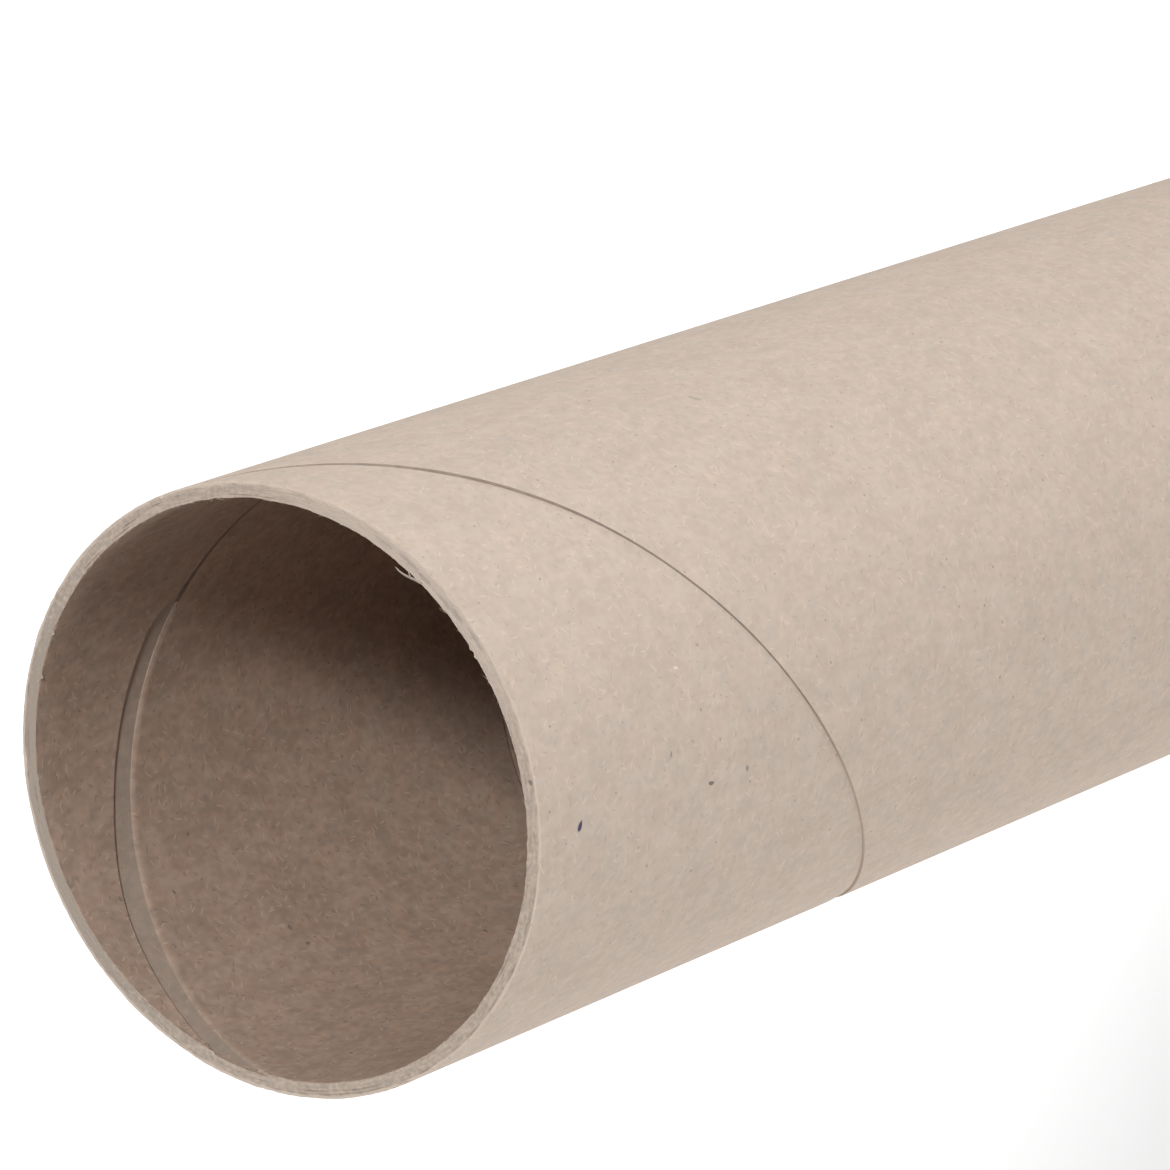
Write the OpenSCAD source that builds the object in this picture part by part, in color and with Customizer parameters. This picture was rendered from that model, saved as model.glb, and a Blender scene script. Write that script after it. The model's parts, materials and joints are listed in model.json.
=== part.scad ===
// Spiral-wound cardboard mailing tube, open at both ends and standing on its lower end.
// Plies of board are wound on a mandrel and glued into one wall, then cut square to length.
// The turns of the outer ply meet in a hairline seam, and those of the inner ply leave an open one.

/* [Tube] */
// Diameter of the bore, which is that of the winding mandrel
bore_d = 76; // [50:1:120]
// Length between the two cut ends
tube_length = 450; // [250:10:900]

/* [Wall] */
// Thickness of one ply of board with its glue
ply_t = 0.42; // [0.3:0.02:0.8]
// Number of plies glued into the wall
ply_count = 5; // [3:1:10]

/* [Outer seam] */
// Rise of the outer ply in one turn
outer_lead = 216; // [150:2:300]
// Width of the hairline between its turns, square to the seam
outer_gap = 0.36; // [0.2:0.02:1]
// Bearing of the seam at the upper end, from +X towards +Y
outer_bearing = 356; // [0:1:359]

/* [Inner seam] */
// Rise of the inner ply in one turn
inner_lead = 84; // [60:1:120]
// Width of the gap between its turns, square to the seam
inner_gap = 3.4; // [1:0.1:8]
// Bearing of the gap at the upper end, from +X towards +Y
inner_bearing = 152; // [0:1:359]

/* [Hidden] */
$fn = 120;
bore_r = bore_d / 2;
wall_t = ply_t * ply_count;
outer_r = bore_r + wall_t;
// A seam's cut runs past the surface and past both ends by this much
cut_over = 1;
// A seam follows its helix in this many steps to a turn, and its floor in steps of this angle
seam_steps = 60;
floor_step = 6;
board_colour = [0.74, 0.65, 0.57];

// Points on an arc of radius r about the axis, in order from one bearing to the other
function arc(r, from, to) =
    let (steps = max(1, ceil(abs(to - from) / floor_step)))
    [for (i = [0:steps]) let (a = from + (to - from) * i / steps) r * [cos(a), sin(a)]];

// Half of the angle that a gap takes up in a level section, from its width square to the seam
function half_angle(gap, lead, r) =
    let (round_run = 2 * PI * r)
    gap * norm([round_run, lead]) / lead / round_run * 180;

// The space between two turns of a ply that lies from radius r_in to r_out, as a right-hand helix
module seam_gap(r_in, r_out, r_face, lead, gap, bearing) {
    run = tube_length + 2 * cut_over;
    half = half_angle(gap, lead, r_face);
    translate([0, 0, -cut_over])
        rotate(bearing - 360 * (tube_length + cut_over) / lead)
            linear_extrude(height = run, twist = -360 * run / lead,
                           slices = ceil(seam_steps * run / lead), $fn = 4)
                polygon(concat(arc(r_in, -half, half), arc(r_out, half, -half)));
}

// The glued wall, cut square at both ends
module wall() {
    rotate_extrude()
        translate([bore_r, 0])
            square([wall_t, tube_length]);
}

// The whole tube: one wall, with the seams of its outermost and innermost plies
module tube() {
    color(board_colour)
        difference() {
            wall();
            seam_gap(outer_r - ply_t, outer_r + cut_over, outer_r, outer_lead, outer_gap, outer_bearing);
            seam_gap(bore_r - cut_over, bore_r + ply_t, bore_r, inner_lead, inner_gap, inner_bearing);
        }
}

tube();
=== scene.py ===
"""Spiral-wound cardboard mailing tube: its plies with real seams, its cut ends and their loose fibres."""

import json
import math
from collections import namedtuple

import bpy
import numpy as np
from mathutils import Matrix, Vector


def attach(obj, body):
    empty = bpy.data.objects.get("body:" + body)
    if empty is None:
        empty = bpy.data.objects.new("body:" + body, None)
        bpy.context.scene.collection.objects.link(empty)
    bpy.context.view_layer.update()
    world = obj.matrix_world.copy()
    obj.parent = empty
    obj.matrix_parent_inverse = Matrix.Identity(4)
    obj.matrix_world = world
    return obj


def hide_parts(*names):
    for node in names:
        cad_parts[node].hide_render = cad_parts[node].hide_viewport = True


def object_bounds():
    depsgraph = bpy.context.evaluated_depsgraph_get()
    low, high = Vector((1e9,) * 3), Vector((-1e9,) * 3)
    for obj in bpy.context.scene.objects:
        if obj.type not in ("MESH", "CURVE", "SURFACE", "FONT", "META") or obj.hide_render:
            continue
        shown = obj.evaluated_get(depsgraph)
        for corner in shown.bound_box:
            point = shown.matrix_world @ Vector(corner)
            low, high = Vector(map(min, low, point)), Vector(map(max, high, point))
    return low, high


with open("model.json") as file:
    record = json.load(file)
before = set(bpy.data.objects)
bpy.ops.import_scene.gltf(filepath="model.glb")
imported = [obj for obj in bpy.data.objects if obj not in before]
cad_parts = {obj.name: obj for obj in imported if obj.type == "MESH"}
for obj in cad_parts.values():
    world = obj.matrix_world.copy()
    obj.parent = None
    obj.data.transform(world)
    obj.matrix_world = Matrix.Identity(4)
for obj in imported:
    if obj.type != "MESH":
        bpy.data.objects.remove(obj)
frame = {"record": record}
cad_low, cad_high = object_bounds()

# Driving sizes, in millimetres; a bearing is an angle round the tube's axis from +X
MM = 0.001
TAU = 2 * math.pi
TUBE_H = (cad_high.z - cad_low.z) / MM
OUTER_R = (cad_high.x - cad_low.x) / 2 / MM
BORE_R = next(m["dims"]["r_mm"] for m in frame["record"]["mounts"] if m["name"] == "bore")
MEAN_R = (OUTER_R + BORE_R) / 2
PLY_COUNT = 5
PLY_T = (OUTER_R - BORE_R) / PLY_COUNT
# The innermost ply is pressed a little into the one behind it, so its gap is not quite a ply deep
LINER_T = 0.72 * PLY_T
# A thin tube is never quite round: its radius swells by this much towards this bearing
OVAL = 0.51
OVAL_BEARING = math.radians(43.2)
# The last stretch at each end, where the blade left its marks, is a piece of its own
END_BAND = 0.9
# Columns of points round the tube, and round its finer ends
COLUMNS = 360
END_COLUMNS = 1440
# Turns of the seams that are looked at for a gap, and more turns either way than any ply makes
SEAM_TURNS = range(-7, 4)
PLY_TURNS = 8

# How a ply is wound: its rise in a turn, its seam's bearing at the upper end, and the seam's wander
Winding = namedtuple("Winding", "lead bearing wander_cos wander_sin")
OUTER = Winding(216.0, math.radians(-1.27), -1.69, -1.34)
INNER = Winding(84.0, math.radians(157.85), -1.09, -0.25)

# Kinds of surface, in the order of the materials on each piece; the plies' cut edges are partly painted shade
# in the seams' gaps, and the last kind is painted shade in the shut seam inside
OUTSIDE, INSIDE, MIDDLE, CUT, EDGE, SEAM_SHADE = range(6)


# Shapes along the winding
def smooth(x, start, stop):
    """Rises from 0 at start to 1 at stop, without corners."""
    t = np.clip((x - start) / (stop - start), 0, 1)
    return t * t * (3 - 2 * t)


def seam_height(winding, az):
    """Height of a ply's seam at a bearing that may run over several turns."""
    rise = winding.lead * (az - winding.bearing) / TAU
    return TUBE_H + rise + winding.wander_cos * np.cos(az) + winding.wander_sin * np.sin(az)


# What changes along the outer seam, by the degrees that it has wound down from the upper end: how far its
# strip has slipped up, the height of its gap, how deep the strip above has sunk, and how far that reaches
OUTER_SLIP = (30, 60, 80, 105, 140), (-0.4, -0.2, 0.25, 0.25, -0.5)
OUTER_GAP = ((50, 65, 90, 115, 150, 200, 270, 310, 400, 440),
             (0.4, 0.18, 0.08, 0.05, 0.05, 0.22, 0.22, 0.06, 0.06, 0.22))
OUTER_SINK = (50, 65, 105, 115, 270, 310, 400, 440), (0.34, 0.28, 0.28, 0.38, 0.34, 0.04, 0.04, 0.3)
SINK_REACH = (50, 100), (1.6, 4.0)
# Both gaps, outside and inside, also widen and narrow a little in waves of these heights
OUTER_WAVE, INNER_WAVE = 0.02, 0.25


def along_seam(az, table):
    return np.interp(-np.degrees(az), *table)


def outer_seam(az):
    """Height of the outer seam, whose strip has slipped a little up and down."""
    return seam_height(OUTER, az) + along_seam(az, OUTER_SLIP)


def outer_gap(az):
    """Height of the hairline gap outside, which nearly shuts twice."""
    return along_seam(az, OUTER_GAP) + OUTER_WAVE * np.sin(3 * az + 1.0)


# The gap inside: its mean height, the bulge that widens it and the bulge's bearing and half width in degrees
INNER_GAP = 3.45
INNER_BULGE, BULGE_BEARING, BULGE_WIDTH = 0.9, 102, 16
# Where it is shut it is a hairline, a little wider above the bearing from which its edge is painted dark, as
# painted shade in the seam
HAIRLINE, WIDER_HAIRLINE = 0.1, 0.45
SEAM_SHADE_ENDS = math.radians(-25)
# Bearings between which it shuts, and angles wound down from +X between which it opens again
SHUTTING = math.radians(40), math.radians(49)
OPENING = math.radians(300), math.radians(380)


def inner_open(az):
    """How far the gap inside has opened: wide on its first quarter turn, shut for a turn, and wide below."""
    return smooth(az, *SHUTTING) + smooth(-az, *OPENING)


def inner_gap(az):
    """Height of the gap inside, down to a hairline on the turn where it is shut."""
    bulge = INNER_BULGE * np.exp(-(((np.degrees(az) - BULGE_BEARING) / BULGE_WIDTH) ** 2))
    wide = INNER_GAP + bulge + INNER_WAVE * np.sin(1.7 * az)
    shut = HAIRLINE + (WIDER_HAIRLINE - HAIRLINE) * smooth(az, SEAM_SHADE_ENDS, 0.0)
    return shut + (wide - shut) * inner_open(az)


def outer_lower(az):
    return outer_seam(az - TAU) + outer_gap(az - TAU) / 2


def outer_upper(az):
    return outer_seam(az) - outer_gap(az) / 2


def inner_lower(az):
    return seam_height(INNER, az - TAU) + inner_gap(az - TAU)


def inner_upper(az):
    return seam_height(INNER, az)


# How far a ply's face lies back near its edges, by the distance from the edge: the radii of rounded edges,
# how proud one edge stands, how deep another is bevelled, and how far both reach
OUTER_LOWER_ROUND, OUTER_UPPER_ROUND, INNER_LOWER_ROUND = 0.03, 0.06, 0.28
PROUD, PROUD_REACH = 0.06, 0.8
BEVEL, BEVEL_REACH = 0.2, 1.0


def rolled(d, radius):
    """An edge rounded over by a radius."""
    return radius - math.sqrt(radius**2 - max(0.0, radius - d) ** 2)


def outer_lower_drop(d, az):
    """The strip above the seam outside has sunk into the gap, less and less steeply."""
    sink, reach = along_seam(az - TAU, OUTER_SINK), along_seam(az - TAU, SINK_REACH)
    return rolled(d, OUTER_LOWER_ROUND) + sink * np.clip(1 - d / reach, 0, 1) ** 1.5


def outer_upper_drop(d, az):
    return rolled(d, OUTER_UPPER_ROUND) + 0 * az


def inner_lower_drop(d, az):
    """The strip above the seam inside stands a little proud."""
    return rolled(d, INNER_LOWER_ROUND) - PROUD * math.exp(-d / PROUD_REACH) + 0 * az


def inner_upper_drop(d, az):
    """The strip below it is crushed to a soft bevel."""
    return BEVEL * max(0.0, 1 - d / BEVEL_REACH) ** 2 + 0 * az


def outer_edge(az):
    """Kind of the cut edge outside, whose colour is partly painted shade in the seam's gap."""
    return np.full(len(az), EDGE)


def inner_edge(az):
    """Kind of the cut edge inside: painted dark, as painted shade in the seam, where the gap first closes."""
    return np.where((inner_open(az) < 0.5) & (az > SEAM_SHADE_ENDS), SEAM_SHADE, EDGE)


def on_tube(r, az, z):
    """Points at a radius, bearing and height, on a tube that is a little oval."""
    r = r + OVAL * np.cos(2 * (az - OVAL_BEARING))
    return np.stack([r * np.cos(az), r * np.sin(az), z + 0 * az], axis=-1)


def in_gaps(r, az, z):
    """Radii with both seams' gaps cut one ply deep."""
    for turn in SEAM_TURNS:
        a = az + turn * TAU
        r = np.where(np.abs(z - outer_seam(a)) < outer_gap(a) / 2, np.minimum(r, OUTER_R - PLY_T), r)
        far = seam_height(INNER, a)
        r = np.where((z > far) & (z < far + inner_gap(a)), np.maximum(r, BORE_R + LINER_T), r)
    return r


# Meshes: grids of points are welded in steps of a ten-thousandth of a millimetre
WELD_STEPS = 1e4


def weld(points, quads, kinds):
    """Joins points that coincide, and drops the faces that collapse."""
    keys = np.round(points * WELD_STEPS).astype(np.int64)
    _, first, back = np.unique(keys, axis=0, return_index=True, return_inverse=True)
    faces, kept = [], []
    for quad, kind in zip(back.reshape(-1)[quads].tolist(), kinds.tolist()):
        ring = [v for i, v in enumerate(quad) if v != quad[i - 1]]
        if len(ring) >= 3 and len(set(ring)) == len(ring):
            faces.append(ring)
            kept.append(kind)
    return points[first], faces, kept


def loop_quads(columns, rows, closed, flip):
    """Quads of a grid whose rows close on themselves, and the row that each starts from."""
    i, j = np.meshgrid(np.arange(columns if closed else columns - 1), np.arange(rows), indexing="ij")
    i, j = i.ravel(), j.ravel()
    i2, j2 = (i + 1) % columns, (j + 1) % rows
    quads = np.stack([i * rows + j, i2 * rows + j, i2 * rows + j2, i * rows + j2], axis=1)
    return (quads[:, ::-1] if flip else quads), j


# A wound ply: the radii of its face and back, the heights of its edges, how they drop, the rows of points
# between them, the kinds of its face and of its cut edges, and how many rows of its face share a seam's
# painted shade
Ply = namedtuple("Ply", "face_r back_r lower upper lower_drop upper_drop mid_rows kind edge stained_rows")
# Rows of a ply's face lie at these distances from its edges, closest where the edge rolls over
EDGE_ROWS = (0.0, 0.03, 0.08, 0.16, 0.28, 0.5, 0.8, 1.2, 1.8, 2.6, 3.6)
# Rows of its cut edges lie at these shares of the way from its face to its back
EDGE_STEPS = (0.35, 0.7, 1.0)
# Rows on each wall of the plain tube between the plies
PLAIN_ROWS = 8


def wound_ply(ply):
    """A closed ply wound as a helix, cut off at both ends of the tube."""
    low, high = END_BAND, TUBE_H - END_BAND
    az = np.arange(-PLY_TURNS * COLUMNS, PLY_TURNS * COLUMNS) * TAU / COLUMNS
    there = np.nonzero(np.minimum(ply.upper(az), high) > np.maximum(ply.lower(az), low))[0]
    az = az[there[0] - 1:there[-1] + 2]
    lo, hi = ply.lower(az), ply.upper(az)
    side = 1 if ply.face_r > ply.back_r else -1
    rows = [(ply.face_r - side * ply.lower_drop(d, az), lo + d) for d in EDGE_ROWS]
    inset = EDGE_ROWS[-1]
    steps = [k / ply.mid_rows for k in range(1, ply.mid_rows)]
    rows += [(ply.face_r + 0 * az, lo + inset + (hi - lo - 2 * inset) * t) for t in steps]
    rows += [(ply.face_r - side * ply.upper_drop(d, az), hi - d) for d in reversed(EDGE_ROWS)]
    face_rows = len(rows) - 1
    bottom_r, top_r = rows[0][0], rows[-1][0]
    rows += [(top_r + (ply.back_r - top_r) * f, hi) for f in EDGE_STEPS]
    rows += [(bottom_r + (ply.back_r - bottom_r) * f, lo) for f in reversed(EDGE_STEPS)]
    points = np.stack([on_tube(r, az, np.clip(z, low, high)) for r, z in rows], axis=1)
    quads, row = loop_quads(len(az), len(rows), False, side < 0)
    edge = np.repeat(ply.edge(az[:-1]), len(rows))
    # Rows of the face beside an edge painted dark are painted dark with it, as painted shade in the seam
    shade_painted = (row >= face_rows - ply.stained_rows) & (edge == SEAM_SHADE)
    return weld(points.reshape(-1, 3), quads, np.where((row >= face_rows) | shade_painted, edge, ply.kind))


def plain_tube(r_out, r_in, low, high):
    """A closed tube, for the plies that show only at the bottom of a gap."""
    az = np.arange(COLUMNS) * TAU / COLUMNS
    levels = np.linspace(low, high, PLAIN_ROWS)
    profile = [(r_out, z) for z in levels] + [(r_in, z) for z in levels[::-1]]
    points = np.stack([on_tube(r, az, z) for r, z in profile], axis=1)
    quads, _ = loop_quads(COLUMNS, len(profile), True, False)
    return weld(points.reshape(-1, 3), quads, np.full(len(quads), MIDDLE))


# The cut ends
def ripple(rng, rows, width):
    """Rows of random ripple round an end, smoothed over a width in millimetres, with a spread of 1."""
    wave = np.fft.rfftfreq(END_COLUMNS)
    spread = np.exp(-2 * (math.pi * wave * width * END_COLUMNS / (TAU * MEAN_R)) ** 2)
    raw = np.fft.rfft(rng.normal(size=(rows, END_COLUMNS)), axis=1) * spread
    raw = np.fft.irfft(raw, END_COLUMNS, axis=1)
    return raw / raw.std()


def bumps(az, at):
    """Sum of bumps round an end, each with a bearing in degrees, a height and a half width in millimetres."""
    total = 0 * az
    for bearing, height, width in at:
        away = (az - math.radians(bearing) + math.pi) % TAU - math.pi
        total = total + height * np.exp(-((away * MEAN_R / width) ** 2))
    return total


# Torn bits on the inner edge of the upper end, and where its outermost ply has come loose
UPPER_TEETH = ((42.3, 0.42, 0.3), (41.2, -0.12, 0.4), (51.8, 0.5, 0.28), (53.0, -0.15, 0.4),
               (-76.4, 0.28, 0.3), (-78.1, 0.3, 0.35))
UPPER_LOOSE = ((-128.0, 1.3, 14.0), (-152.0, 0.9, 9.0), (175.0, 1.2, 10.0), (60.0, 0.7, 14.0))

# A cut end's section: depths of the points on both walls, insets and depths of those that round its edges
# over, and where the points of each ply lie across it
WALL_DEPTHS = (END_BAND, 0.55, 0.32, 0.2)
OUTER_ROUND = ((0.015, 0.11), (0.06, 0.045), (0.13, 0.01))
INNER_ROUND = ((0.05, 0.02), (0.012, 0.07))
PLY_POINTS = (0.62, 0.4, 0.15)
# Spreads and widths of the ripples that the blade left: the grain of the cut, the fray of both edges, the
# slow rise of the cut and its sway; then its mean depth, and how far down the walls the rise and fray reach
GRAIN = (0.02, 0.15), (0.03, 0.8)
FRAY = (0.03, 0.3), (0.03, 1.2)
RISE, SWAY = (0.025, 9.0), (0.1, 2.5)
CUT_DEPTH = 0.05
RISE_REACH, FRAY_REACH = 0.1, 0.35
# Glue lines: their depth, the width of the ripple that opens them, and up to where it leaves them shut
GLUE_DEPTH, GLUE_WIDTH, GLUE_SHUT = 0.1, 1.3, 0.5
# Seeds of what is random at the ends
UPPER_SEED, LOWER_SEED, FIBRE_SEED = 3, 4, 11


def relief(rng, rows, *parts):
    return sum(spread * ripple(rng, rows, width) for spread, width in parts)


def end_section():
    """Radii and depths of a cut end's points, where the cut itself starts and stops, and its glue lines."""
    section = [(OUTER_R, d) for d in WALL_DEPTHS] + [(OUTER_R - inset, d) for inset, d in OUTER_ROUND]
    first = len(section)
    grooves = []
    for ply in reversed(range(PLY_COUNT)):
        base = BORE_R + ply * PLY_T
        section += [(base + PLY_T * f, 0.0) for f in PLY_POINTS]
        if ply:
            grooves.append(len(section))
            section.append((base, 0.0))
    last = len(section)
    section += [(BORE_R + inset, d) for inset, d in INNER_ROUND]
    section += [(BORE_R, d) for d in reversed(WALL_DEPTHS)]
    return section, first, last, grooves


def cut_end(end_z, inward, seed, teeth, loose):
    """One cut end: a ring with its plies, their glue lines and the marks of the cut; inward is -1 or 1."""
    rng = np.random.default_rng(seed)
    az = np.arange(END_COLUMNS) * TAU / END_COLUMNS
    section, first, last, grooves = end_section()
    count = len(section)
    grain = np.abs(relief(rng, count, *GRAIN))
    level = CUT_DEPTH + relief(rng, 1, RISE)[0]
    sway = relief(rng, 1, SWAY)[0]
    glue = GLUE_DEPTH * np.clip(ripple(rng, count, GLUE_WIDTH) - GLUE_SHUT, 0, 2)
    glue[grooves[0]] += GLUE_DEPTH * bumps(az, loose)
    torn = relief(rng, 2, *FRAY)
    torn[1] -= bumps(az, teeth)
    columns = []
    for k, (r, depth) in enumerate(section):
        d = depth + 0 * az
        if depth < RISE_REACH:
            d = d + level
        if first <= k < last:
            d = d + grain[k] + (glue[k] if k in grooves else 0)
            r = r + sway * math.sin(math.pi * (r - BORE_R) / (OUTER_R - BORE_R))
        edge = torn[0] if k < first else torn[1]
        reach = max(0.0, 1 - depth / FRAY_REACH) if not first <= k < last - 1 else 0.0
        z = end_z + inward * np.clip(d, 0, END_BAND)
        columns.append(on_tube(in_gaps(r + reach * edge, az, z), az, z))
    points = np.stack(columns, axis=1)
    quads, row = loop_quads(END_COLUMNS, count, True, inward > 0)
    kinds = np.select([row < first - 1, row < last], [OUTSIDE, CUT], INSIDE)
    return weld(points.reshape(-1, 3), quads, kinds)


# Loose fibres are thin tubes with this many sides, and none of them lies along the direction aside
SIDES = 5
ASIDE = (0.3, 0.2, 0.93)


def strand(path, radii):
    """Rings of points along a fibre's path, and how many there are."""
    path = np.asarray(path)
    along = np.gradient(path, axis=0)
    along /= np.linalg.norm(along, axis=1)[:, None]
    side = np.cross(along, ASIDE)
    side /= np.linalg.norm(side, axis=1)[:, None]
    other = np.cross(along, side)
    turn = np.arange(SIDES) * TAU / SIDES
    rings = path[:, None] + np.asarray(radii)[:, None, None] * (
        np.cos(turn)[None, :, None] * side[:, None] + np.sin(turn)[None, :, None] * other[:, None])
    return rings.reshape(-1, 3), len(path)


def bundle(strands, kind):
    """Many strands as one mesh, their ends closed."""
    points, faces = [], []
    for ring, length in strands:
        base = sum(len(p) for p in points)
        points.append(ring)
        for i in range(length - 1):
            a, b = base + SIDES * i, base + SIDES * (i + 1)
            faces += [[a + k, a + (k + 1) % SIDES, b + (k + 1) % SIDES, b + k] for k in range(SIDES)]
        faces.append([base + k for k in reversed(range(SIDES))])
        faces.append([base + SIDES * (length - 1) + k for k in range(SIDES)])
    return np.concatenate(points), faces, [kind] * len(faces)


def end_point(bearing, r, lift):
    return on_tube(np.array(r), np.array(math.radians(bearing)), np.array(TUBE_H + lift))


# A torn hair that hooks into the bore at the upper end: bearing, radius, height above the end and thickness
HAIR = ((-60.6, 38.15, -0.12, 0.15), (-59.3, 37.92, -0.08, 0.17), (-58.6, 37.75, -0.04, 0.17),
        (-57.5, 37.52, 0.0, 0.15), (-56.4, 37.36, 0.03, 0.13), (-55.5, 37.31, 0.05, 0.1),
        (-54.8, 37.35, 0.05, 0.08), (-54.3, 37.4, 0.04, 0.04))
HAIR_BRANCH = ((-58.2, 37.66, -0.02, 0.1), (-57.7, 37.86, -0.02, 0.1), (-57.1, 38.1, -0.05, 0.07))


# Loose fibres on the edges of the cut ends: how many at each end and the share on the inner edge, how far in
# from the walls and how deep they start, and between which sizes their lengths, lifts and radii lie
UPPER_FIBRES, LOWER_FIBRES, INNER_SHARE = 150, 110, 0.7
FROM_BORE, FROM_OUTSIDE, ROOT_DEPTH = 0.03, 0.05, 0.12
FIBRE_LENGTHS, FIBRE_LIFTS, FIBRE_RADII = (0.25, 0.8), (0.0, 0.5), (0.018, 0.035)
# The spreads of their lean and bow, and how strongly they point into the bore or out from the tube
LEAN, BOW = 1.0, 0.25
INTO_BORE, OUT_FROM_TUBE = -1, 0.4


def fuzz(rng, end_z, inward, number):
    """Loose fibre ends along both edges of a cut end."""
    made = []
    for _ in range(number):
        az = rng.uniform(0, TAU)
        r = BORE_R + FROM_BORE if rng.random() < INNER_SHARE else OUTER_R - FROM_OUTSIDE
        length, lean, lift = rng.uniform(*FIBRE_LENGTHS), rng.normal(0, LEAN), rng.uniform(*FIBRE_LIFTS)
        way = INTO_BORE if r < MEAN_R else OUT_FROM_TUBE
        t = np.linspace(0, 1, 5)
        bow = rng.normal(0, BOW) * t * (1 - t)
        path = on_tube(r + way * length * 0.5 * t, az + (lean * length * t + bow) / MEAN_R,
                       end_z + inward * (ROOT_DEPTH - lift * length * t))
        made.append(strand(path, rng.uniform(*FIBRE_RADII) * (1.1 - t)))
    return made


def loose_fibres():
    rng = np.random.default_rng(FIBRE_SEED)
    return bundle(fuzz(rng, TUBE_H, -1, UPPER_FIBRES) + fuzz(rng, 0.0, 1, LOWER_FIBRES), CUT)


def torn_hair():
    made = [strand([end_point(*p[:3]) for p in path], [p[3] for p in path]) for path in (HAIR, HAIR_BRANCH)]
    return bundle(made, EDGE)


# Texture coordinates: millimetres along and across the winding, or along and across a cut
def winding_coords(winding, az, z, mid_az, mid_z):
    turn = np.ceil((mid_z - seam_height(winding, mid_az)) / winding.lead)
    x = MEAN_R * (az + TAU * turn)
    run, slant = TAU * MEAN_R, math.hypot(TAU * MEAN_R, winding.lead)
    return np.stack([(x * run + z * winding.lead) / slant, (z * run - x * winding.lead) / slant], axis=-1)


def cut_coords(az, r, z):
    """Length round a cut end, past the other end's where it is the lower one, and radius without the oval."""
    other_end = np.where(z < TUBE_H / 2, TAU * MEAN_R, 0.0)
    return np.stack([MEAN_R * az + other_end, r - OVAL * np.cos(2 * (az - OVAL_BEARING))], axis=-1)


def add_coords(mesh, kinds):
    totals = np.empty(len(mesh.polygons), dtype=np.int32)
    mesh.polygons.foreach_get("loop_total", totals)
    owner = np.repeat(np.arange(len(totals)), totals)
    vertex = np.empty(len(mesh.loops), dtype=np.int32)
    mesh.loops.foreach_get("vertex_index", vertex)
    points = np.empty(3 * len(mesh.vertices))
    mesh.vertices.foreach_get("co", points)
    x, y, z = points.reshape(-1, 3)[vertex].T / MM
    mid_x, mid_y, mid_z = [(np.bincount(owner, weights=v) / totals)[owner] for v in (x, y, z)]
    mid_az = np.arctan2(mid_y, mid_x)
    az = mid_az + (np.arctan2(y, x) - mid_az + math.pi) % TAU - math.pi
    kind = np.asarray(kinds)[owner][:, None]
    uv = np.where(kind == OUTSIDE, winding_coords(OUTER, az, z, mid_az, mid_z),
                  winding_coords(INNER, az, z, mid_az, mid_z))
    uv = np.where(kind == CUT, cut_coords(az, np.hypot(x, y), mid_z), uv)
    layer = mesh.uv_layers.new(name="winding")
    layer.data.foreach_set("uv", uv.astype(np.float32).ravel())


# Faces that meet at a wider angle than this keep a sharp edge
SHARP_ANGLE = math.radians(40)


def make_piece(name, built, materials):
    points, faces, kinds = built
    mesh = bpy.data.meshes.new(name)
    mesh.from_pydata((points * MM).tolist(), [], faces)
    for material in materials:
        mesh.materials.append(material)
    mesh.polygons.foreach_set("material_index", kinds)
    add_coords(mesh, kinds)
    mesh.shade_smooth()
    mesh.set_sharp_from_angle(angle=SHARP_ANGLE)
    piece = bpy.data.objects.new(name, mesh)
    bpy.context.collection.objects.link(piece)
    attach(piece, "root")
    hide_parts("tube")


# Materials: the strength of the bump, its depth in millimetres, the weak shine, and the roughness
BUMP_STRENGTH, BUMP_DEPTH = 0.6, 0.03
SHINE = 0.2
PAPER_ROUGHNESS, CUT_ROUGHNESS = 0.9, 0.95


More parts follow.
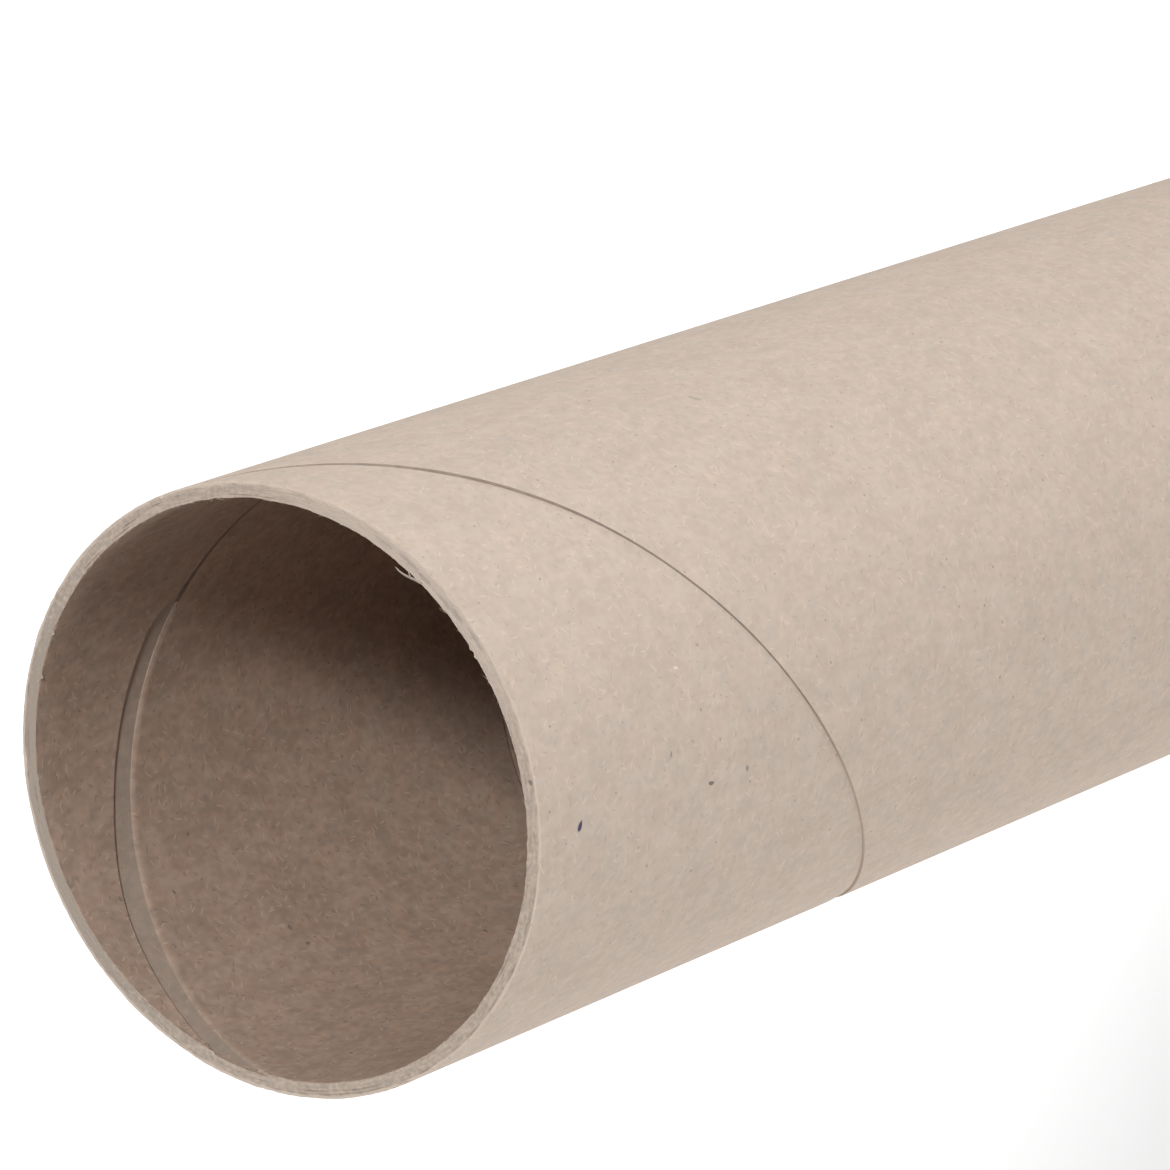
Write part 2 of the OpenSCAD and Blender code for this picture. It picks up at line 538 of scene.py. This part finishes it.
class Graph:
    """Adds nodes to a material, each with its settings and what feeds its inputs."""

    def __init__(self, name):
        self.material = bpy.data.materials.new(name)
        self.material.use_nodes = True
        self.tree = self.material.node_tree
        self.tree.nodes.clear()

    def add(self, kind, inputs=None, **settings):
        node = self.tree.nodes.new(kind)
        for key, value in settings.items():
            setattr(node, key, value)
        for key, value in (inputs or {}).items():
            self.feed(node.inputs[key], value)
        return node

    def feed(self, socket, value):
        if isinstance(value, bpy.types.NodeSocket):
            self.tree.links.new(value, socket)
        else:
            socket.default_value = value

    def math(self, operation, *values):
        return self.add("ShaderNodeMath", dict(enumerate(values)), operation=operation).outputs[0]

    def vector(self, operation, *values):
        node = self.add("ShaderNodeVectorMath", dict(enumerate(values)), operation=operation)
        return node.outputs["Value" if operation == "LENGTH" else "Vector"]

    def ramp(self, value, start, stop):
        """Smooth rise from 0 to 1 as value goes from start to stop."""
        node = self.add("ShaderNodeMapRange", {"Value": value, "From Min": start, "From Max": stop},
                        interpolation_type="SMOOTHSTEP")
        return node.outputs[0]

    def noise(self, coords, scale, detail=1.0):
        node = self.add("ShaderNodeTexNoise", {"Vector": coords, "Scale": scale, "Detail": detail},
                        noise_dimensions="2D")
        return node.outputs["Fac"]

    def cells(self, coords, size, shift):
        """Offset from the nearest of many scattered spots, in cell sizes, and three random numbers for it."""
        placed = self.vector("MULTIPLY_ADD", coords, (1 / size, 1 / size, 0.0), (shift, 1.7 * shift, 0.0))
        spots = self.add("ShaderNodeTexVoronoi", {"Vector": placed, "Scale": 1.0}, voronoi_dimensions="2D")
        chance = self.add("ShaderNodeSeparateColor", {"Color": spots.outputs["Color"]})
        return self.vector("SUBTRACT", placed, spots.outputs["Position"]), chance.outputs

    def mixed(self, *parts):
        """Weighted sum of values that swing about a half, itself swinging about a half."""
        total = 0.5 - 0.5 * sum(weight for _, weight in parts)
        for value, weight in parts:
            total = self.math("MULTIPLY_ADD", value, weight, total)
        return total

    def mix(self, factor, a, b, blend="MIX"):
        node = self.add("ShaderNodeMix", {0: factor, 6: a, 7: b}, data_type="RGBA", blend_type=blend)
        return node.outputs[2]

    def finish(self, colour, height, roughness):
        raised = {"Strength": BUMP_STRENGTH, "Distance": BUMP_DEPTH * MM, "Height": height}
        bump = self.add("ShaderNodeBump", raised)
        look = {"Base Color": colour, "Roughness": roughness, "Specular IOR Level": SHINE,
                "Normal": bump.outputs[0]}
        shader = self.add("ShaderNodeBsdfPrincipled", look)
        self.add("ShaderNodeOutputMaterial", {"Surface": shader.outputs[0]})
        return self.material


def shade_of(colour, factor):
    return (*[min(1.0, c * factor) for c in colour], 1.0)


def fibres(g, coords, cell, length, width, share, shift):
    """Mask of slightly bent fibres that lie every way, some fainter than others, in a share of the cells."""
    away, chance = g.cells(coords, cell, shift)
    angle = g.math("MULTIPLY_ADD", chance[0], math.pi, -math.pi / 2)
    turned = g.add("ShaderNodeVectorRotate", {"Vector": away, "Angle": angle}, rotation_type="Z_AXIS")
    axes = g.add("ShaderNodeSeparateXYZ", {"Vector": turned.outputs[0]})
    along, across = axes.outputs[0], axes.outputs[1]
    bend = g.math("MULTIPLY_ADD", chance[1], 1.6, -0.8)
    curved = g.math("MULTIPLY_ADD", bend, g.math("MULTIPLY", along, along), across)
    ends = g.ramp(g.math("ABSOLUTE", along), length / cell / 2, 0.15 * length / cell)
    sides = g.ramp(g.math("ABSOLUTE", curved), width / cell / 2, 0.0)
    return g.math("MULTIPLY", g.math("MULTIPLY", ends, sides), g.ramp(chance[2], share, 0.0))


def specks(g, coords, cell, size, share, shift):
    """Mask of small dots of different sizes, in a share of the cells."""
    away, chance = g.cells(coords, cell, shift)
    radius = g.math("MULTIPLY_ADD", chance[0], size / cell, 0.35 * size / cell)
    dot = g.ramp(g.math("DIVIDE", g.vector("LENGTH", away), radius), 1.0, 0.4)
    return g.math("MULTIPLY", dot, g.math("LESS_THAN", chance[1], share))


OUTSIDE_COLOUR, INSIDE_COLOUR = (0.608, 0.511, 0.431), (0.423, 0.316, 0.249)
MIDDLE_COLOUR, CUT_COLOUR = (0.43, 0.345, 0.285), (0.47, 0.388, 0.324)
# The plies' cut edges: partly the board's own greyer colour, partly painted shade in the seams' gaps; then a
# dark brown that is all painted shade, for the shut seam inside
EDGE_COLOUR, SEAM_SHADE_COLOUR = (0.365, 0.31, 0.262), (0.22, 0.157, 0.125)
INK_COLOUR = (0.075, 0.062, 0.11, 1.0)

# A fleck: its place in texture coordinates, half length and half width, turn in degrees and colour
Mark = namedtuple("Mark", "place half_length half_width turn colour")


def on_paper(winding, bearing, depth):
    """Place on a wound ply, by its bearing in degrees and its depth below the upper end."""
    az, z = math.radians(bearing), TUBE_H - depth
    return winding_coords(winding, az, z, az, z)


def on_cut(bearing, r):
    """Place on the upper cut end, by its bearing in degrees and its radius."""
    return MEAN_R * math.radians(bearing), r


def outside_fleck(bearing, depth, half_length, half_width, turn, shade):
    place = on_paper(OUTER, bearing, depth)
    return Mark(place, half_length, half_width, turn, shade_of(OUTSIDE_COLOUR, shade))


def inside_fleck(bearing, depth, half_length, half_width, turn, shade):
    place = on_paper(INNER, bearing, depth)
    return Mark(place, half_length, half_width, turn, shade_of(INSIDE_COLOUR, shade))


def cut_fleck(bearing, r, half_length, half_width, shade):
    return Mark(on_cut(bearing, r), half_length, half_width, 0, shade_of(OUTSIDE_COLOUR, shade))


OUTSIDE_MARKS = (Mark(on_paper(OUTER, -114.0, 8.66), 0.72, 0.36, 60, INK_COLOUR),
                 outside_fleck(-115.7, 38.4, 0.55, 0.25, -37, 0.38),
                 outside_fleck(-115.6, 46.8, 0.38, 0.32, 10, 0.6),
                 outside_fleck(-90.6, 40.6, 0.3, 0.18, -20, 0.7),
                 outside_fleck(-107.4, 29.7, 0.38, 0.2, 70, 0.55),
                 outside_fleck(-93.1, 34.6, 0.5, 0.2, -40, 1.3),
                 outside_fleck(-40.7, 78.2, 0.9, 0.5, 0, 0.8))
INSIDE_MARKS = (inside_fleck(100.2, 8.3, 0.4, 0.25, 20, 0.6),
                inside_fleck(93.0, 26.4, 0.35, 0.25, -30, 0.6),
                inside_fleck(102.7, 18.5, 0.35, 0.22, 50, 0.6),
                inside_fleck(118.8, 33.8, 0.45, 0.25, 10, 0.6),
                inside_fleck(123.5, 34.3, 0.4, 0.25, -60, 0.6),
                inside_fleck(137.9, 63.2, 0.5, 0.3, 30, 0.6),
                inside_fleck(158.5, 13.7, 0.4, 0.22, -15, 0.6))
GAP_MARKS = (inside_fleck(88.9, 14.6, 0.3, 0.25, 0, 2.0),)
# One stretch of the upper end is darker than the rest and one paler, with grey dashes where plies meet
CUT_MARKS = (cut_fleck(80.0, 38.7, 34.0, 2.2, 0.64), cut_fleck(-58.0, 39.05, 22.0, 1.7, 0.88),
             cut_fleck(-56.1, 39.1, 1.5, 0.3, 0.72),
             cut_fleck(-60.7, 38.9, 1.3, 0.3, 0.68), cut_fleck(-66.7, 38.9, 1.6, 0.32, 0.72),
             cut_fleck(-69.5, 39.1, 1.2, 0.3, 0.7), cut_fleck(-75.6, 39.35, 1.8, 0.34, 0.72),
             cut_fleck(-50.0, 39.0, 1.4, 0.3, 0.76), cut_fleck(-103.4, 39.35, 0.35, 0.3, 0.4))


# How far a fleck's outline wobbles, and from where to where it fades in, both in half sizes
FLECK_WOBBLE = 1.2
FLECK_FADE = (1.9, 1.2)


def marked(g, coords, wobble, colour, marks):
    """Paints single flecks at their places."""
    for m in marks:
        away = g.vector("SUBTRACT", coords, (*m.place, 0.0))
        turned = g.add("ShaderNodeVectorRotate", {"Vector": away, "Angle": math.radians(m.turn)},
                       rotation_type="Z_AXIS")
        scaled = g.vector("MULTIPLY", turned.outputs[0], (1 / m.half_length, 1 / m.half_width, 0.0))
        reach = g.math("MULTIPLY_ADD", wobble, FLECK_WOBBLE, g.vector("LENGTH", scaled))
        colour = g.mix(g.ramp(reach, *FLECK_FADE), colour, m.colour)
    return colour


# The cut edges of the plies are darkened near the upper end as painted shade in the seams, and between these
# depths that fades out, until they are a little paler than the face outside
SHADE_FADE_FROM, SHADE_FADE_TO = 56.0, 92.0
LOWER_EDGE_TONE = 1.08
# Fibres: the size of the cells that hold one each, their length and width, their share and their shift
PALE_FIBRES = ((1.7, 1.4, 0.4, 0.75, 13.0), (2.6, 2.0, 0.4, 0.65, 91.0))
DARK_FIBRES = ((1.9, 1.0, 0.4, 0.8, 31.0), (3.1, 1.4, 0.42, 0.6, 57.0))
# Specks: the size of their cells, their own size, their share and their shift
SPECKS = ((5.0, 0.22, 0.35, 5.0), (2.4, 0.12, 0.3, 44.0))
# Shades of fibres and specks beside the paper's own, and how much of a speck's shows
PALE, DARK, SPECK = 1.34, 0.66, 0.3
SPECK_STRENGTH = 0.5
# The mottle is drawn out along the tube; its noises, from the widest to the finest, with their weights
DRAWN = (1.15, 0.72, 0.0)
CLOUD_SCALE, MOTTLE_SCALE, STROKE_SCALE, GRAIN_SCALE = 0.12, 0.45, 1.0, 4.0
TONE_WEIGHTS = (0.95, 1.4, 0.75, 0.08)
# It turns warmer here and there, by a noise of its own
WARM = (1.03, 0.985, 0.957, 1.0)
WARM_SCALE, WARM_SHIFT, WARM_FADE = 0.25, (70.0, 30.0, 0.0), (0.35, 0.65)
# How high pale fibres and strokes stand beside the grain
FIBRE_HEIGHT, STROKE_HEIGHT = 0.5, 0.6
# The sawn edge: crumbs, and streaks drawn out round the end, with their weights and the contrast of both
CRUMB_SCALE, CRUMB_WEIGHT = 1.6, 1.4
STREAK_SCALE, STREAK_WEIGHT, STREAKED = 1.3, 1.0, (0.35, 1.6, 0.0)
CUT_CONTRAST = 0.2
# Its outer skin: how uneven its border is, how far that lies inside the ply, and its shade
SKIN_UNEVEN, SKIN_INSET, SKIN_SHADE = 0.4, 0.1, 1.02


def fade_painted_shade_below(g, colour):
    """A colour darkened as painted shade in the seams, which gives way to a paler paper colour further down
    the tube.
    """
    place = g.add("ShaderNodeTexCoord").outputs["Object"]
    height = g.add("ShaderNodeSeparateXYZ", {"Vector": place}).outputs[2]
    unshaded = g.ramp(height, (TUBE_H - SHADE_FADE_FROM) * MM, (TUBE_H - SHADE_FADE_TO) * MM)
    return g.mix(unshaded, colour, shade_of(OUTSIDE_COLOUR, LOWER_EDGE_TONE))


def scattered(g, coords, mask, kinds):
    """Two kinds of fibres or specks as one mask."""
    return g.math("MAXIMUM", *[mask(g, coords, *kind) for kind in kinds])


def drawn_out(g, flat, winding):
    """Texture coordinates turned level with the tube and drawn out along it."""
    pitch = math.atan2(winding.lead, TAU * MEAN_R)
    level = g.add("ShaderNodeVectorRotate", {"Vector": flat, "Angle": pitch}, rotation_type="Z_AXIS")
    return g.vector("MULTIPLY", level.outputs[0], DRAWN)


def board_paper(name, winding, base, contrast, fibre, blush=0.6, marks=(), seam_shaded=False):
    """Recycled board: softly mottled, with pale and dark fibres as strong as fibre says, and dark specks."""
    g = Graph(name)
    flat = g.add("ShaderNodeUVMap", uv_map="winding").outputs[0]
    drawn = drawn_out(g, flat, winding)
    clouds, mottle = g.noise(drawn, CLOUD_SCALE), g.noise(drawn, MOTTLE_SCALE)
    strokes, grain = g.noise(drawn, STROKE_SCALE, 0.0), g.noise(flat, GRAIN_SCALE, 0.0)
    tone = g.mixed(*zip((clouds, mottle, strokes, grain), TONE_WEIGHTS))
    colour = g.mix(tone, shade_of(base, 1 - contrast), shade_of(base, 1 + contrast))
    warmth = g.ramp(g.noise(g.vector("ADD", drawn, WARM_SHIFT), WARM_SCALE), *WARM_FADE)
    colour = g.mix(g.math("MULTIPLY", warmth, blush), colour, WARM, "MULTIPLY")
    light, shade = scattered(g, flat, fibres, PALE_FIBRES), scattered(g, flat, fibres, DARK_FIBRES)
    dots = scattered(g, flat, specks, SPECKS)
    colour = g.mix(g.math("MULTIPLY", light, fibre), colour, shade_of(base, PALE))
    colour = g.mix(g.math("MULTIPLY", shade, fibre), colour, shade_of(base, DARK))
    colour = g.mix(g.math("MULTIPLY", dots, SPECK_STRENGTH), colour, shade_of(base, SPECK))
    colour = marked(g, flat, strokes, colour, marks)
    # Painted shade on the plies' cut edges fades out down the tube
    if seam_shaded:
        colour = fade_painted_shade_below(g, colour)
    raised = g.math("MULTIPLY_ADD", strokes, STROKE_HEIGHT, grain)
    height = g.math("MULTIPLY_ADD", light, FIBRE_HEIGHT, raised)
    return g.finish(colour, height, PAPER_ROUGHNESS)


def cut_board(name, base, marks):
    """The sawn edge of the plies: crumbly, and paler towards the paper outside."""
    g = Graph(name)
    flat = g.add("ShaderNodeUVMap", uv_map="winding").outputs[0]
    radius = g.add("ShaderNodeSeparateXYZ", {"Vector": flat}).outputs[1]
    crumbs = g.noise(flat, CRUMB_SCALE, 2.0)
    streaks = g.noise(g.vector("MULTIPLY", flat, STREAKED), STREAK_SCALE)
    tone = g.mixed((streaks, STREAK_WEIGHT), (crumbs, CRUMB_WEIGHT))
    colour = g.mix(tone, shade_of(base, 1 - CUT_CONTRAST), shade_of(base, 1 + CUT_CONTRAST))
    colour = marked(g, flat, crumbs, colour, marks)
    uneven = g.math("MULTIPLY_ADD", streaks, SKIN_UNEVEN, radius)
    skin = g.ramp(uneven, OUTER_R - PLY_T + SKIN_INSET, OUTER_R)
    colour = g.mix(skin, colour, shade_of(OUTSIDE_COLOUR, SKIN_SHADE))
    return g.finish(colour, crumbs, CUT_ROUGHNESS)


materials = [board_paper("outer_paper", OUTER, OUTSIDE_COLOUR, 0.06, 0.48, marks=OUTSIDE_MARKS),
             board_paper("inner_paper", INNER, INSIDE_COLOUR, 0.13, 0.95, blush=1.0, marks=INSIDE_MARKS),
             board_paper("middle_paper", INNER, MIDDLE_COLOUR, 0.08, 0.4, marks=GAP_MARKS),
             cut_board("cut_board", CUT_COLOUR, CUT_MARKS),
             # The plies' cut edges and the shut seam inside carry painted shade
             board_paper("ply_edge", INNER, EDGE_COLOUR, 0.1, 0.4, seam_shaded=True),
             board_paper("glued_paper", INNER, SEAM_SHADE_COLOUR, 0.1, 0.4)]

# The pieces; the middle plies lie this clear of the ones on both sides
MIDDLE_CLEAR = 0.02
OUTER_BACK, INNER_BACK = OUTER_R - PLY_T, BORE_R + LINER_T
OUTER_PLY = Ply(OUTER_R, OUTER_BACK, outer_lower, outer_upper, outer_lower_drop, outer_upper_drop,
                mid_rows=20, kind=OUTSIDE, edge=outer_edge, stained_rows=0)
INNER_PLY = Ply(BORE_R, INNER_BACK, inner_lower, inner_upper, inner_lower_drop, inner_upper_drop,
                mid_rows=12, kind=INSIDE, edge=inner_edge, stained_rows=5)
middle_plies = plain_tube(OUTER_BACK - MIDDLE_CLEAR, INNER_BACK + MIDDLE_CLEAR, END_BAND, TUBE_H - END_BAND)
make_piece("outer_ply", wound_ply(OUTER_PLY), materials)
make_piece("inner_ply", wound_ply(INNER_PLY), materials)
make_piece("middle_plies", middle_plies, materials)
make_piece("upper_cut_end", cut_end(TUBE_H, -1, UPPER_SEED, UPPER_TEETH, UPPER_LOOSE), materials)
make_piece("lower_cut_end", cut_end(0.0, 1, LOWER_SEED, (), ()), materials)
make_piece("cut_fibres", loose_fibres(), materials)
make_piece("torn_hair", torn_hair(), materials)


# Floor, lights and camera; the floor's reach is in metres, and its glow lights nothing but what mirrors it
FLOOR_REACH = 8.0
FLOOR_GLOW = 0.5
FLOOR_COLOUR = (0.85, 0.85, 0.85, 1.0)
WHITE = (1.0, 1.0, 1.0, 1.0)


def make_floor():
    mesh = bpy.data.meshes.new("floor")
    a = FLOOR_REACH
    mesh.from_pydata([(-a, -a, 0), (a, -a, 0), (a, a, 0), (-a, a, 0)], [], [(0, 1, 2, 3)])
    g = Graph("floor")
    diffuse = g.add("ShaderNodeBsdfDiffuse", {"Color": FLOOR_COLOUR})
    path = g.add("ShaderNodeLightPath").outputs
    mirrored = g.math("MAXIMUM", path["Is Glossy Ray"], path["Is Transmission Ray"])
    seen = g.math("MAXIMUM", path["Is Camera Ray"], mirrored)
    glow = g.add("ShaderNodeEmission", {"Color": WHITE, "Strength": g.math("MULTIPLY", seen, FLOOR_GLOW)})
    both = g.add("ShaderNodeAddShader", {0: diffuse.outputs[0], 1: glow.outputs[0]})
    g.add("ShaderNodeOutputMaterial", {"Surface": both.outputs[0]})
    mesh.materials.append(g.material)
    floor = bpy.data.objects.new("floor", mesh)
    bpy.context.collection.objects.link(floor)


# Each lamp's bearing and elevation from the tube's upper part, in degrees, its width and height in metres and
# its power; all but the key lamp stand level with the tube, so that little of their light falls into it
LAMPS = (("key", -54, 55, 0.4, 0.4, 40.2), ("over", -20, 0, 1.3, 0.6, 5.1), ("front", -120, 0, 1.3, 0.6, 4.8),
         ("under", 165, 0, 1.3, 0.6, 19.2))
LAMP_AWAY = 2.4
LAMP_AIM = 0.85 * TUBE_H * MM
AMBIENT = 0.35


def make_lamp(name, bearing, elevation, width, height, power):
    lamp = bpy.data.lights.new(name, "AREA")
    lamp.shape = "RECTANGLE"
    lamp.size, lamp.size_y = width, height
    lamp.energy = power
    turn, rise = math.radians(bearing), math.radians(elevation)
    way = Vector((math.cos(turn) * math.cos(rise), math.sin(turn) * math.cos(rise), math.sin(rise)))
    obj = bpy.data.objects.new(name, lamp)
    obj.location = Vector((0, 0, LAMP_AIM)) + LAMP_AWAY * way
    obj.rotation_mode = "QUATERNION"
    obj.rotation_quaternion = (-way).to_track_quat("-Z", "Y")
    bpy.context.collection.objects.link(obj)


def make_world():
    world = bpy.data.worlds.new("studio")
    world.use_nodes = True
    nodes, links = world.node_tree.nodes, world.node_tree.links
    ambient = nodes["Background"]
    ambient.inputs["Color"].default_value = WHITE
    ambient.inputs["Strength"].default_value = AMBIENT
    backdrop = nodes.new("ShaderNodeBackground")
    backdrop.inputs["Color"].default_value = WHITE
    path = nodes.new("ShaderNodeLightPath")
    mixed = nodes.new("ShaderNodeMixShader")
    seen = path.outputs["Is Camera Ray"]
    for ray in ("Is Glossy Ray", "Is Transmission Ray"):
        either = nodes.new("ShaderNodeMath")
        either.operation = "MAXIMUM"
        links.new(seen, either.inputs[0])
        links.new(path.outputs[ray], either.inputs[1])
        seen = either.outputs[0]
    links.new(seen, mixed.inputs[0])
    links.new(ambient.outputs[0], mixed.inputs[1])
    links.new(backdrop.outputs[0], mixed.inputs[2])
    links.new(mixed.outputs[0], nodes["World Output"].inputs["Surface"])
    bpy.context.scene.world = world


# The camera's place from the middle of the upper end, in millimetres; it looks along +Y, dips and is rolled
CAMERA_AT = (11.57, -629.68, 774.76)
CAMERA_DIP = math.radians(53.507)
CAMERA_ROLL = math.radians(-109.520)
CAMERA_LENS = 243.42
# It sees this far, in metres
CLIP_END = 100


def make_camera():
    data = bpy.data.cameras.new("camera")
    data.lens = CAMERA_LENS
    data.clip_end = CLIP_END
    camera = bpy.data.objects.new("camera", data)
    place = Vector((CAMERA_AT[0], CAMERA_AT[1], TUBE_H + CAMERA_AT[2])) * MM
    turn = Matrix.Rotation(math.pi / 2 - CAMERA_DIP, 4, "X") @ Matrix.Rotation(CAMERA_ROLL, 4, "Z")
    camera.matrix_world = Matrix.Translation(place) @ turn
    bpy.context.collection.objects.link(camera)
    bpy.context.scene.camera = camera


make_floor()
for lamp in LAMPS:
    make_lamp(*lamp)
make_world()
make_camera()
bpy.context.scene.view_settings.view_transform = "Standard"
